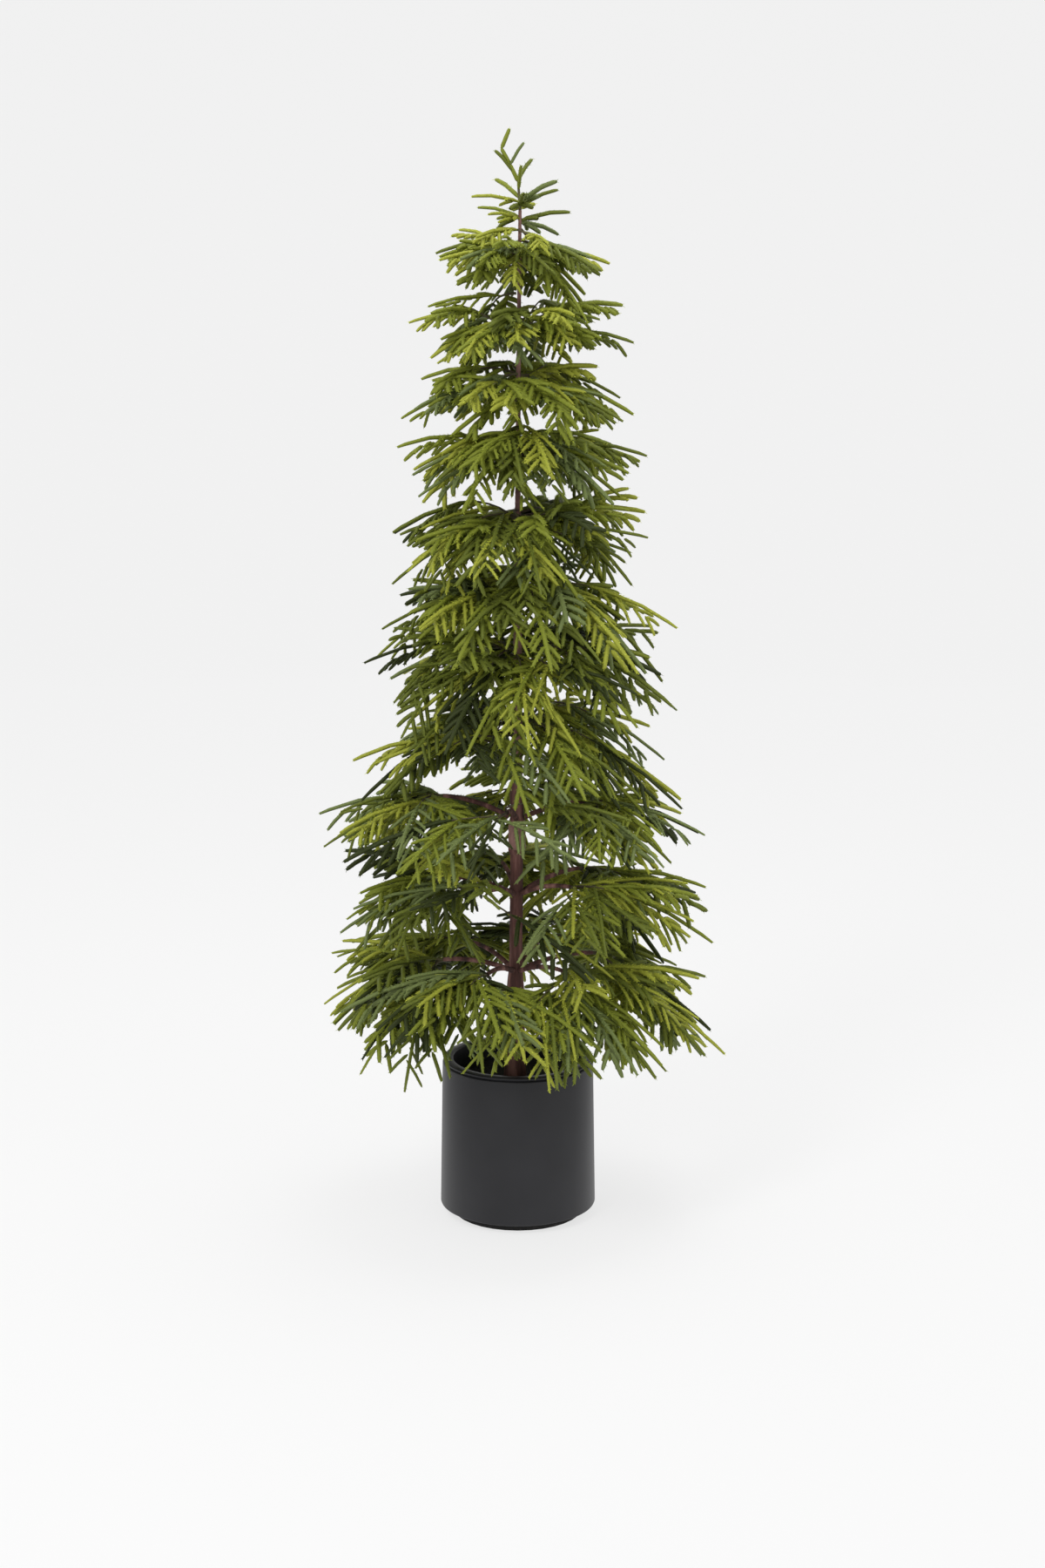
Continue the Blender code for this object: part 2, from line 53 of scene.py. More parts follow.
# Pot, with the solids' sizes. An edge is pairs of inset and rise from the radius and height that
# pot_profile gives it
POT_HEIGHT = 0.275
POT_BASE_RADIUS = 0.1346
POT_RIM_RADIUS = 0.1300
POT_MOUTH_RADIUS = 0.1118
POT_SHELL_BOTTOM = 0.0152
POT_SHELL_DEPTH_IN_FILL = 0.010
POT_GROOVE_BOTTOM = 0.269
POT_BASE_EDGE = ((0.0030, 0.0), (0.0008, 0.0010), (0.0, 0.0030))
POT_WALL_EDGE = ((-0.0002, -0.0020), (0.0004, -0.0006), (0.0015, 0.0))
POT_GROOVE = ((0.0042, 0.0004), (0.0045, 0.0014), (0.0042, 0.0024))
POT_LIP_EDGE = ((0.0018, 0.0028), (0.0015, 0.0040), (0.0020, 0.0052), (0.0032, 0.0060))
POT_MOUTH_EDGE = ((-0.0016, 0.0), (-0.0004, -0.0006), (0.0, -0.0018))
POT_SIDES = 128
FILL_TOP = 0.240

# Trunk, as in the solids: radius by height, and where its centre lies
TREE_HEIGHT = 1.832
TRUNK_FOOT = FILL_TOP + GAP
TRUNK_TOP = 1.700
TRUNK_PROFILE = (
    (TRUNK_FOOT, 0.0210),
    (0.270, 0.0178),
    (0.330, 0.0160),
    (0.400, 0.0150),
    (0.432, 0.0118),
    (0.560, 0.0108),
    (0.630, 0.0110),
    (0.642, 0.0152),
    (0.688, 0.0148),
    (0.700, 0.0112),
    (0.735, 0.0122),
    (0.760, 0.0092),
    (1.000, 0.0074),
    (1.260, 0.0046),
    (1.500, 0.0036),
    (TRUNK_TOP, 0.0028),
)
TRUNK_SWAY = 0.001
TRUNK_BASE_X = -0.004
TRUNK_LEAN = 0.008
TRUNK_PLUMB_TO = 0.400

# Relief of the trunk, in shares of its radius, and its turns by angle and by height
TRUNK_SIDES = 30
TRUNK_RING_STEP = 0.0035
WRAP = (0.640, 0.690)
TAPE_FROM = 0.760
WRAP_RIDGE = 0.030
WRAP_SUNK = 0.02
WRAP_TURNS = (2, 420)
TAPE_RIDGE = 0.045
TAPE_SUNK = 0.03
TAPE_TURNS = (1, 700)
STRAND_SCALE = (3.2, 3.2, 14)
STRAND_DETAIL_SCALE = 2.7
STRAND_DETAIL_SHARE = 0.5
STRAND_DEPTH = 0.22
STRAND_LEVEL = 0.42
STRAND_SUNK = 0.04
MOST_RELIEF = 0.06

# Tiers of branches, lowest first, as in the solids but with more twigs and sprays. height: where
# they leave the trunk; count: masses in the tier; turn: azimuth of the first, in degrees; left,
# right: how far the tips reach at -X and +X; rise: slope at the trunk; drop: how far the tips
# end below the root; spray: length of one spray; fans: twigs that leave each stem; pairs: spray
# pairs on each of them; bough: whether a bough carries the mass
Tier = namedtuple("Tier", "height count turn left right rise drop spray fans pairs bough")
TIERS = (
    Tier(0.425, 6, 8, 0.348, 0.372, 0.50, 0.100, 0.185, 3, 4, True),
    Tier(0.560, 5, 30, 0.310, 0.345, 0.55, 0.070, 0.185, 3, 3, True),
    Tier(0.690, 4, -8, 0.352, 0.320, 0.60, 0.060, 0.180, 3, 3, True),
    Tier(0.815, 4, 35, 0.290, 0.290, 0.70, 0.070, 0.175, 4, 2, False),
    Tier(0.935, 3, 5, 0.280, 0.280, 0.80, 0.080, 0.170, 5, 2, False),
    Tier(1.055, 3, 60, 0.255, 0.268, 0.80, 0.080, 0.165, 4, 2, False),
    Tier(1.170, 3, 10, 0.235, 0.250, 0.80, 0.085, 0.155, 5, 2, False),
    Tier(1.285, 3, 65, 0.220, 0.230, 0.80, 0.075, 0.145, 4, 2, False),
    Tier(1.395, 3, 0, 0.205, 0.215, 0.80, 0.060, 0.135, 3, 2, False),
    Tier(1.500, 3, 60, 0.195, 0.195, 0.80, 0.055, 0.125, 3, 2, False),
    Tier(1.600, 3, 20, 0.150, 0.165, 0.80, 0.025, 0.105, 3, 2, False),
)

# Place in TIERS of the first upper tier: these are more level and have no dark green, the green that
# is painted shade
UPPER_TIERS = 7

# Boughs of the low tiers, and the low ridges of the tape wound round them
BOUGH_SHARE = 0.36
BOUGH_ROOT_RADIUS = 0.0048
BOUGH_TIP_RADIUS = 0.0034
BOUGH_STEPS = 60
BOUGH_SIDES = 10
BOUGH_RIDGE = 0.07
BOUGH_RIDGE_TURN = 1.9

# Twigs: how they fan out from their stem, how far they reach, and how far they are lifted
FORK_RUN = 0.014
FAN_RUN = 0.070
FAN_SPREAD = 0.86
FAN_STRAY_DEGREES = 3
TWIG_REACH = (0.90, 1.0)
SPRAY_PAST_LOW_TWIG = 0.80
SPRAY_PAST_HIGH_TWIG = 0.92
ROOT_LIFT = (-0.020, 0.070)
TIP_LIFT = (-0.030, 0.030)
TWIG_POINTS = 7
TWIG_ROOT_RADIUS = 0.0024
TWIG_TIP_RADIUS = 0.0011
TWIG_SIDES = 5

# Sprays: one at each twig's end, and pairs along it. Droops and rises are slopes
PAIR_PLACE = 0.62
PAIR_STAGGER = 0.2
PAIR_SPAN = 0.9
SPREAD_OF_SECTOR = 1.15
SPREAD_SHARE = (0.75, 1.2)
MOST_SPREAD = math.radians(52)
LOW_LEVELLING = 0.80
HIGH_LEVELLING = 0.45
SIDE_DROOP = (-0.10, 0.50)
END_DROOP = (-0.05, 0.25)
SPRAY_ROLL_DEGREES = 25
SPRAY_LENGTH = (0.86, 1.04)
SPRAY_SAG = 0.24
SPRAY_RISE = 0.12

# Tiers whose front twigs, up to a share of their length, are bare and show the trunk
OPEN_TIERS = (1, 2, 3)
OPEN_FACING = 0.80
OPEN_SHARE = 0.75

# Fingers: pairs along each spray, from its root towards its tip. Places and lengths are shares
# of the spray's length, FINGER_WIDTH scales needles and core, and FINGER_SHAPE gives the core's
# width by place along the finger
FINGER_PAIRS = 5
FINGER_ANGLE = math.radians(42)
FINGER_ANGLE_SHARE = (0.85, 1.25)
FIRST_FINGER = 0.13
FINGER_STEP = 0.145
FINGER_STRAY = 0.03
FINGER_STAGGER = 0.05
FINGER_LENGTH = 0.31
FINGER_LENGTH_SHARE = (0.85, 1.1)
FINGER_SHRINK = 0.93
FINGER_SLOPE = (-0.38, 0.10)
FINGER_WIDTH = (0.62, 1.05)
FINGER_SHAPE = ((0.0, 0.40), (0.14, 1.0), (0.60, 1.0), (0.90, 0.90), (1.0, 0.60))
FINGER_SIDES = 4
FINGER_CORE_RADIUS = 0.0042

# Needles round each finger. NEEDLE_LEAN is their angle to it at its root and at its tip
NEEDLE_PITCH = 0.0018
FEWEST_NEEDLES = 6
NEEDLE_LENGTH = 0.0100
NEEDLE_LENGTH_SHARE = (0.8, 1.15)
NEEDLE_LENGTH_AT_ROOT = 0.75
NEEDLE_LENGTH_PEAK = 1.1
NEEDLE_HALF_WIDTH = 0.0010
NEEDLE_RIDGE_PLACE = 0.35
NEEDLE_RIDGE_HEIGHT = 0.9
NEEDLE_LEAN = (math.radians(50), math.radians(42))
NEEDLE_LEAN_SHARE = (0.85, 1.15)
NEEDLE_FLATNESS = 0.75
TURN_BY_FINGER = 1.7

# Leader: the bent shoot above the trunk, its sprays in a spiral, and a whorl at its foot
LEADER_BEND = ((0.004, TRUNK_TOP + GAP), (0.001, 1.745), (-0.012, 1.772), (-0.026, 1.797))
LEADER_TIP = (-0.013, TREE_HEIGHT - 0.004)
LEADER_RADII = (0.0026, 0.0021, 0.0017, 0.0013, 0.0008)
LEADER_WIDTH = 0.8
LEADER_SPRAYS = 6
LEADER_SPRAY = 0.078
LEADER_SPAN = (0.05, 0.80)
LEADER_SLOPE = (0.5, 1.2)
LEADER_SHRINK = 0.45
WHORL_SPRAYS = 9
WHORL_SPRAY = 0.088
WHORL_STRAY = 0.2
WHORL_SLOPE = (-0.1, 0.6)
WHORL_SHIFT = (-0.02, 0.02)

# Greens dealt to the sprays, with how often each comes
GREENS = (
    ("needles_leaf_green", (0.335, 0.390, 0.044), 0.28),
    ("needles_moss_green", (0.215, 0.258, 0.036), 0.26),
    # Lime green is partly the lighter tint of new growth and partly painted light
    ("needles_lime_green_and_painted_light", (0.540, 0.580, 0.070), 0.20),
    # Grey green is a painted sheen: the needles' bluish highlight given as a base colour
    ("needles_grey_green_painted_sheen", (0.265, 0.330, 0.105), 0.13),
    # Dark green is painted shade of the crown's lower interior, dealt only to the lower tiers
    ("needles_dark_green_painted_shade", (0.060, 0.078, 0.018), 0.13),
)
# Share of each green kept by the finger cores: darker copies, painted shade inside the crown
CORE_SHADE = 0.50

# Colour ramps: place on the noise texture, and colour
BARK_STOPS = (
    (0.30, (0.018, 0.007, 0.006)),
    (0.52, (0.115, 0.045, 0.036)),
    (0.72, (0.33, 0.165, 0.14)),
)
TAPE_STOPS = ((0.30, (0.085, 0.034, 0.029)), (0.70, (0.38, 0.205, 0.175)))
TWIG_STOPS = ((0.35, (0.050, 0.032, 0.018)), (0.65, (0.090, 0.085, 0.030)))
POT_STOPS = ((0.30, (0.013, 0.013, 0.015)), (0.75, (0.020, 0.020, 0.023)))
# Colours of the dark filling, also laid on the pot's foot as painted shade under the pot
FILLING_AND_FOOT_SHADE_STOPS = ((0.35, (0.003, 0.003, 0.003)), (0.70, (0.014, 0.013, 0.012)))

# Stage: a pale round floor and wall that glow a little
STAGE_RADIUS = 8.0
STAGE_BEND = 1.6
STAGE_BEND_STEPS = 12
STAGE_HEIGHT = 9.0
STAGE_SIDES = 96
STAGE_WHITE = 0.18
STAGE_GLOW = 0.71

# Light: an even white world, and area lamps that all face the middle of the crown
WORLD_STRENGTH = 0.80
CROWN_MIDDLE = (0.0, 0.0, 0.9)
Lamp = namedtuple("Lamp", "name place size power")
LAMPS = (
    Lamp("key", (-1.6, -2.6, 3.6), 1.0, 72),
    Lamp("fill", (2.8, -2.2, 1.8), 2.2, 12),
    Lamp("top", (0.4, 0.4, 4.2), 1.4, 42),
)

# The photograph's camera
CAMERA_PLACE = (0.008, -4.0, 1.51)
CAMERA_TILT = math.radians(79.3)
CAMERA_LENS = 55.2
CAMERA_SENSOR = 36.0

# How close corners of a turned surface merge, which way is up, and a spiral's even turn
MERGE_WITHIN = 0.00005
UP = Vector((0, 0, 1))
GOLDEN_TURN = math.radians(137.5)

# A finger's root, its heading there, its length, its sag, its green's number and its width
Finger = namedtuple("Finger", "root ahead length sag green width")


def trunk_radius(height):
    for (low, low_radius), (high, high_radius) in zip(TRUNK_PROFILE, TRUNK_PROFILE[1:]):
        if height <= high:
            share = max(height - low, 0.0) / (high - low)
            return low_radius + (high_radius - low_radius) * share
    return TRUNK_PROFILE[-1][1]


def trunk_centre(height):
    """The trunk leans a little to the right as it rises, with a slight sway, from a plumb foot."""
    share = min(max((height - TRUNK_PLUMB_TO) / (TRUNK_TOP - TRUNK_PLUMB_TO), 0.0), 1.0)
    x = TRUNK_BASE_X + TRUNK_LEAN * share + TRUNK_SWAY * math.sin(2 * math.pi * share)
    return Vector((x, 0.0, height))


def tier_reach(tier, azimuth):
    """Distance of the tips from the trunk's axis in one direction."""
    return (tier.right + tier.left) / 2 + math.cos(azimuth) * (tier.right - tier.left) / 2


def arch_height(tier, azimuth, run):
    """Height of a branch's line at a distance from the axis: it rises, arches over and droops."""
    reach = tier_reach(tier, azimuth)
    bend = (tier.rise * reach + tier.drop) / reach**2
    return tier.height + tier.rise * run - bend * run * run


def branch_point(tier, azimuth, run):
    height = arch_height(tier, azimuth, run)
    centre = trunk_centre(tier.height)
    return Vector((centre.x + run * math.cos(azimuth), run * math.sin(azimuth), height))


def clear_of_pot(point):
    run = math.hypot(point.x, point.y)
    over_pot = run < POT_BASE_RADIUS + 3 * CLEARANCE
    return point.z > LOWEST_TIP and not (over_pot and point.z < POT_HEIGHT + 2 * CLEARANCE)


def in_the_crown(index, point):
    """Whether a finger's tip lies within its tier's reach, clear of the trunk and the pot."""
    centre = trunk_centre(point.z)
    run = math.hypot(point.x - centre.x, point.y)
    if point.z < TRUNK_TOP and run < trunk_radius(point.z) + 2 * CLEARANCE:
        return False
    if index < len(TIERS):
        azimuth = math.atan2(point.y, point.x - centre.x)
        if run > tier_reach(TIERS[index], azimuth):
            return False
    return clear_of_pot(point)


def principled(name, color, roughness):
    material = bpy.data.materials.new(name)
    material.use_nodes = True
    shader = material.node_tree.nodes["Principled BSDF"]
    shader.inputs["Base Color"].default_value = (*color, 1.0)
    shader.inputs["Roughness"].default_value = roughness
    return material, shader


def add_noise(material, scale, detail, stretch=(1.0, 1.0, 1.0)):
    """A noise texture in the object's own coordinates."""
    nodes = material.node_tree.nodes
    links = material.node_tree.links
    place = nodes.new("ShaderNodeTexCoord")
    mapping = nodes.new("ShaderNodeMapping")
    mapping.inputs["Scale"].default_value = stretch
    texture = nodes.new("ShaderNodeTexNoise")
    texture.inputs["Scale"].default_value = scale
    texture.inputs["Detail"].default_value = detail
    links.new(place.outputs["Object"], mapping.inputs["Vector"])
    links.new(mapping.outputs["Vector"], texture.inputs["Vector"])
    return texture


def add_ramp(material, texture, stops):
    """A colour ramp from the texture, as (place, colour) stops, into the shader's base colour."""
    ramp = material.node_tree.nodes.new("ShaderNodeValToRGB")
    elements = ramp.color_ramp.elements
    while len(elements) < len(stops):
        elements.new(0.5)
    for element, (place, color) in zip(elements, stops):
        element.position = place
        element.color = (*color, 1.0)
    shader = material.node_tree.nodes["Principled BSDF"]
    material.node_tree.links.new(texture.outputs["Fac"], ramp.inputs["Fac"])
    material.node_tree.links.new(ramp.outputs["Color"], shader.inputs["Base Color"])


def add_bump(material, texture, strength, distance):
    bump = material.node_tree.nodes.new("ShaderNodeBump")
    bump.inputs["Strength"].default_value = strength
    bump.inputs["Distance"].default_value = distance
    shader = material.node_tree.nodes["Principled BSDF"]
    material.node_tree.links.new(texture.outputs["Fac"], bump.inputs["Height"])
    material.node_tree.links.new(bump.outputs["Normal"], shader.inputs["Normal"])


def bark_material():
    """Dark red-brown bark in long upright strands."""
    material, _ = principled("bark_strands", (0.11, 0.05, 0.04), roughness=0.82)
    strands = add_noise(material, scale=60.0, detail=6.0, stretch=(1.0, 1.0, 0.12))
    add_ramp(material, strands, BARK_STOPS)
    add_bump(material, strands, strength=0.8, distance=0.002)
    return material


def tape_material():
    """Brown paper tape, mottled."""
    material, _ = principled("stem_tape", (0.23, 0.13, 0.115), roughness=0.72)
    wraps = add_noise(material, scale=45.0, detail=4.0, stretch=(1.0, 1.0, 0.6))
    add_ramp(material, wraps, TAPE_STOPS)
    add_bump(material, wraps, strength=0.5, distance=0.001)
    return material


def twig_material():
    material, _ = principled("twig_brown", (0.085, 0.060, 0.028), roughness=0.75)
    tint = add_noise(material, scale=40.0, detail=3.0)
    add_ramp(material, tint, TWIG_STOPS)
    return material


def needle_materials(shade, ending):
    """One plain material for each green: where a pattern falls would be lost on joined needles. A
    shade below one gives darker copies, as painted shade.
    """
    made = []
    for name, color, _ in GREENS:
        shaded = [part * shade for part in color]
        material, shader = principled(name + ending, shaded, roughness=0.55)
        shader.inputs["Specular IOR Level"].default_value = 0.15
        made.append(material)
    return made


def pot_material():
    """Satin charcoal with a faint cloud in its colour and a fine grain."""
    material, shader = principled("pot_charcoal_satin", (0.016, 0.016, 0.018), roughness=0.42)
    shader.inputs["Specular IOR Level"].default_value = 0.30
    cloud = add_noise(material, scale=7.0, detail=3.0)
    add_ramp(material, cloud, POT_STOPS)
    grain = add_noise(material, scale=900.0, detail=2.0)
    add_bump(material, grain, strength=0.06, distance=0.0004)
    return material


def filling_and_foot_shade_material():
    """Black crumbs of the filling. The same near black on the pot's foot is painted shade under the
    pot.
    """
    material, _ = principled("filling_dark_and_foot_painted_shade", (0.006, 0.006, 0.006), roughness=0.95)
    crumbs = add_noise(material, scale=120.0, detail=4.0)
    add_ramp(material, crumbs, FILLING_AND_FOOT_SHADE_STOPS)
    add_bump(material, crumbs, strength=0.7, distance=0.003)
    return material


def mesh_object(name, corners, faces, materials, marks, smooth):
    """An object from arrays, with all faces of the same number of corners. A mark is the number
    of a face's material."""
    face_corners = len(faces[0])
    mesh = bpy.data.meshes.new(name)
    mesh.vertices.add(len(corners))
    mesh.vertices.foreach_set("co", np.asarray(corners, np.float32).ravel())
    mesh.loops.add(len(faces) * face_corners)
    mesh.loops.foreach_set("vertex_index", np.asarray(faces, np.int32).ravel())
    mesh.polygons.add(len(faces))
    mesh.polygons.foreach_set("loop_start", np.arange(len(faces), dtype=np.int32) * face_corners)
    for material in materials:
        mesh.materials.append(material)
    mesh.polygons.foreach_set("material_index", np.asarray(marks, np.int32))
    mesh.polygons.foreach_set("use_smooth", np.full(len(faces), smooth))
    mesh.update(calc_edges=True)
    made = bpy.data.objects.new(name, mesh)
    bpy.context.scene.collection.objects.link(made)
    return made


def angles_round(sides):
    return [2 * math.pi * side / sides for side in range(sides)]


def level_direction(azimuth):
    return Vector((math.cos(azimuth), math.sin(azimuth), 0.0))


class Tubes:
    """Corners and four-sided faces of many tubes, gathered for one mesh."""

    def __init__(self):
        self.corners = []
        self.faces = []
        self.marks = []

    def join(self, rings, marks):
        """Joins each ring of corners to the next, with a mark for each stretch in between."""
        sides = len(rings[0])
        low = len(self.corners)
        for ring in rings:
            self.corners += ring
        for mark in marks:
            for side in range(sides):
                after = (side + 1) % sides
                self.faces.append((low + side, low + after, low + sides + after, low + sides + side))
                self.marks.append(mark)
            low += sides

    def add(self, points, radii, sides, mark=0):
        """A tube along a line of points."""
        rings = []
        for step, (point, radius) in enumerate(zip(points, radii)):
            before = points[max(step - 1, 0)]
            after = points[min(step + 1, len(points) - 1)]
            turn = (after - before).to_track_quat("Z", "Y")
            outward = [turn @ level_direction(angle) for angle in angles_round(sides)]
            rings.append([point + direction * radius for direction in outward])
        self.join(rings, [mark] * (len(points) - 1))

    def finished(self, name, materials):
        return mesh_object(name, self.corners, self.faces, materials, self.marks, smooth=True)


def in_wrap(height):
    return WRAP[0] < height < WRAP[1]


def trunk_relief(height, angle):
    """How far the surface stands out from the trunk's plain radius, as a share of it."""
    if in_wrap(height):
        by_angle, by_height = WRAP_TURNS
        return WRAP_RIDGE * math.sin(angle * by_angle + height * by_height) - WRAP_SUNK
    if height > TAPE_FROM:
        by_angle, by_height = TAPE_TURNS
        return TAPE_RIDGE * math.sin(angle * by_angle + height * by_height) - TAPE_SUNK
    across_x, across_y, upward = STRAND_SCALE
    place = Vector((math.cos(angle) * across_x, math.sin(angle) * across_y, height * upward))
    detail = abs(noise.noise(place * STRAND_DETAIL_SCALE))
    strand = abs(noise.noise(place)) + STRAND_DETAIL_SHARE * detail
    return STRAND_DEPTH * (STRAND_LEVEL - strand) - STRAND_SUNK


def relief_trunk(bark, tape):
    """The trunk with its bark's strands in relief, a paper wrap at mid height, and tape above."""
    rings = int((TRUNK_TOP - TRUNK_FOOT) / TRUNK_RING_STEP)
    surface = []
    marks = []
    for ring in range(rings + 1):
        height = TRUNK_FOOT + (TRUNK_TOP - TRUNK_FOOT) * ring / rings
        centre = trunk_centre(height)
        radius = trunk_radius(height)
        corners = []
        for angle in angles_round(TRUNK_SIDES):
            reach = radius * (1 + min(trunk_relief(height, angle), MOST_RELIEF))
            corners.append(centre + level_direction(angle) * reach)
        surface.append(corners)
        marks.append(1 if in_wrap(height) or height > TAPE_FROM else 0)
    stem = Tubes()
    stem.join(surface, marks[:-1])
    trunk = stem.finished("trunk_bark", (bark, tape))
    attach(trunk, "root")
    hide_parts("trunk")


def twisted_boughs(bark):
    """The boughs of the low tiers, wound with tape that shows as low ridges."""
    tubes = Tubes()
    nodes = []
    taper = BOUGH_TIP_RADIUS - BOUGH_ROOT_RADIUS
    for index, tier in enumerate(TIERS):
        if not tier.bough:
            continue
        surface = trunk_radius(tier.height) + GAP
        for place in range(tier.count):
            middle = math.radians(tier.turn) + 2 * math.pi / tier.count * place
            end_run = BOUGH_SHARE * tier_reach(tier, middle)
            points = []
            radii = []
            for step in range(BOUGH_STEPS + 1):
                run = surface + (end_run - surface) * step / BOUGH_STEPS
                ridge = 1.0 + BOUGH_RIDGE * math.sin(step * BOUGH_RIDGE_TURN)
                points.append(branch_point(tier, middle, run))
                radii.append((BOUGH_ROOT_RADIUS + taper * run / end_run) * ridge)
            tubes.add(points, radii, BOUGH_SIDES)
            nodes.append(f"tier{index + 1:02d}_bough{place + 1}")
    boughs = tubes.finished("boughs_bark", (bark,))
    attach(boughs, "root")
    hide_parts(*nodes)


def frame_along(root, direction, roll):
    """A spray's frame: x along its direction, z as near to up as that allows, then rolled."""
    ahead = direction.normalized()
    side = UP.cross(ahead).normalized()
    turn = Matrix((ahead, side, ahead.cross(side))).transposed().to_4x4()
    return Matrix.Translation(root) @ turn @ Matrix.Rotation(roll, 4, "X")


def along(points, share):
    """Point at a share of the way along a twig's line, and the line's direction there."""
    lengths = [(high - low).length for low, high in zip(points, points[1:])]
    left = share * sum(lengths)
    for low, high, length in zip(points, points[1:], lengths):
        if left <= length:
            break
        left -= length
    heading = (high - low).normalized()
    return low + heading * min(left, length), heading


def deal_green(index, rng):
    """A green for one spray. The leader and the upper tiers take none of the last and darkest, which
    is painted shade.
    """
    share = rng.random() * (1.0 if index < UPPER_TIERS else 1.0 - GREENS[-1][2])
    for number, (_, _, part) in enumerate(GREENS):
        share -= part
        if share < 0:
            return number
    return 0


def spray_fingers(index, rng, root, direction, roll, length, pairs):
    """Fingers of one spray: its midrib, and pairs on both sides that shorten towards its tip."""
    green = deal_green(index, rng)
    width = rng.uniform(*FINGER_WIDTH)
    place = frame_along(root, direction, roll)
    turn = place.to_3x3()
    fingers = []

    def add(start, angle, reach, lift):
        base = place @ Vector((start, 0.0, -SPRAY_SAG * start * start / length))
        slope = -2 * SPRAY_SAG * start / length
        heading = Vector((math.cos(angle), math.sin(angle), slope + lift + SPRAY_RISE))
        ahead = turn @ heading.normalized()
        tip = base + ahead * reach - Vector((0, 0, SPRAY_SAG * reach))
        if in_the_crown(index, tip):
            fingers.append(Finger(base, ahead, reach, SPRAY_SAG, green, width))

    add(0.0, 0.0, length, 0.0)
    if not fingers:
        return []
    for pair in range(pairs):
        stray = rng.uniform(-FINGER_STRAY, FINGER_STRAY)
        share = FIRST_FINGER + pair * FINGER_STEP * FINGER_PAIRS / pairs + stray
        for side in (-1, 1):
            start = (share + FINGER_STAGGER * side * rng.random()) * length
            angle = side * FINGER_ANGLE * rng.uniform(*FINGER_ANGLE_SHARE)
            reach = FINGER_LENGTH * FINGER_SHRINK**pair * length * rng.uniform(*FINGER_LENGTH_SHARE)
            add(start, angle, reach, rng.uniform(*FINGER_SLOPE))
    return fingers


def twig_line(index, rng, middle, offset, start_run):
    """Points of one twig: from its stem's foot, out over the arch, to where its end spray sits."""
    tier = TIERS[index]
    past = SPRAY_PAST_LOW_TWIG if index < UPPER_TIERS else SPRAY_PAST_HIGH_TWIG
    end_run = tier_reach(tier, middle + offset) * rng.uniform(*TWIG_REACH) - past * tier.spray
    points = []
    for step in range(TWIG_POINTS):
        run = start_run + (end_run - start_run) * step / (TWIG_POINTS - 1)
        share = min(max(run - start_run - FORK_RUN, 0.0) / FAN_RUN, 1.0)
        points.append(branch_point(tier, middle + offset * share * (2 - share), run))
    return points


def spray_stations(pairs):
    """Where a twig's sprays sit: share of its length, and side, with 0 for the one at its end."""
    stations = [(1.0, 0)]
    for pair in range(pairs):
        for side in (-1, 1):
            stations.append(((pair + PAIR_PLACE + PAIR_STAGGER * side) / pairs * PAIR_SPAN, side))
    return stations


def twig_sprays(index, rng, points, half_width, bare_to):
    """Fingers of the sprays along one twig, which is bare up to a share of its length."""
    tier = TIERS[index]
    levelling = LOW_LEVELLING if index < UPPER_TIERS else HIGH_LEVELLING
    fingers = []
    for share, side in spray_stations(tier.pairs):
        if share < bare_to:
            continue
        root, heading = along(points, share)
        spread = rng.uniform(*SPREAD_SHARE) * min(half_width * SPREAD_OF_SECTOR, MOST_SPREAD)
        direction = Matrix.Rotation(spread * side, 3, "Z") @ heading
        direction.z *= levelling
        direction.z -= rng.uniform(*(SIDE_DROOP if side else END_DROOP))
        roll = math.radians(rng.uniform(-SPRAY_ROLL_DEGREES, SPRAY_ROLL_DEGREES))
        length = tier.spray * rng.uniform(*SPRAY_LENGTH)
        fingers += spray_fingers(index, rng, root, direction, roll, length, FINGER_PAIRS)
    return fingers


def grow_mass(index, middle, half_width, start_run, twigs):
    """Twigs and fingers of one mass, all from one stem that starts at the given run."""
    tier = TIERS[index]
    rng = random.Random(1000 * index + round(math.degrees(middle)) % 360)
    taper = (TWIG_TIP_RADIUS - TWIG_ROOT_RADIUS) / (TWIG_POINTS - 1)
    radii = [TWIG_ROOT_RADIUS + taper * step for step in range(TWIG_POINTS)]
    fingers = []
    for fan in range(tier.fans):
        stray = math.radians(rng.uniform(-FAN_STRAY_DEGREES, FAN_STRAY_DEGREES))
        offset = half_width * FAN_SPREAD * (2 * fan / (tier.fans - 1) - 1) + stray
        points = twig_line(index, rng, middle, offset, start_run)
        root_lift = 0.0 if tier.bough else rng.uniform(*ROOT_LIFT)
        tip_lift = rng.uniform(*TIP_LIFT)
        for step, point in enumerate(points):
            share = step / (TWIG_POINTS - 1)
            point.z += root_lift * (1 - share) + tip_lift * share
        twigs.add(points, radii, TWIG_SIDES)
        facing = math.cos(middle + offset + math.pi / 2)
        opened = index in OPEN_TIERS and facing > OPEN_FACING
        bare_to = OPEN_SHARE if opened else 0.0
        fingers += twig_sprays(index, rng, points, half_width, bare_to)
    return fingers


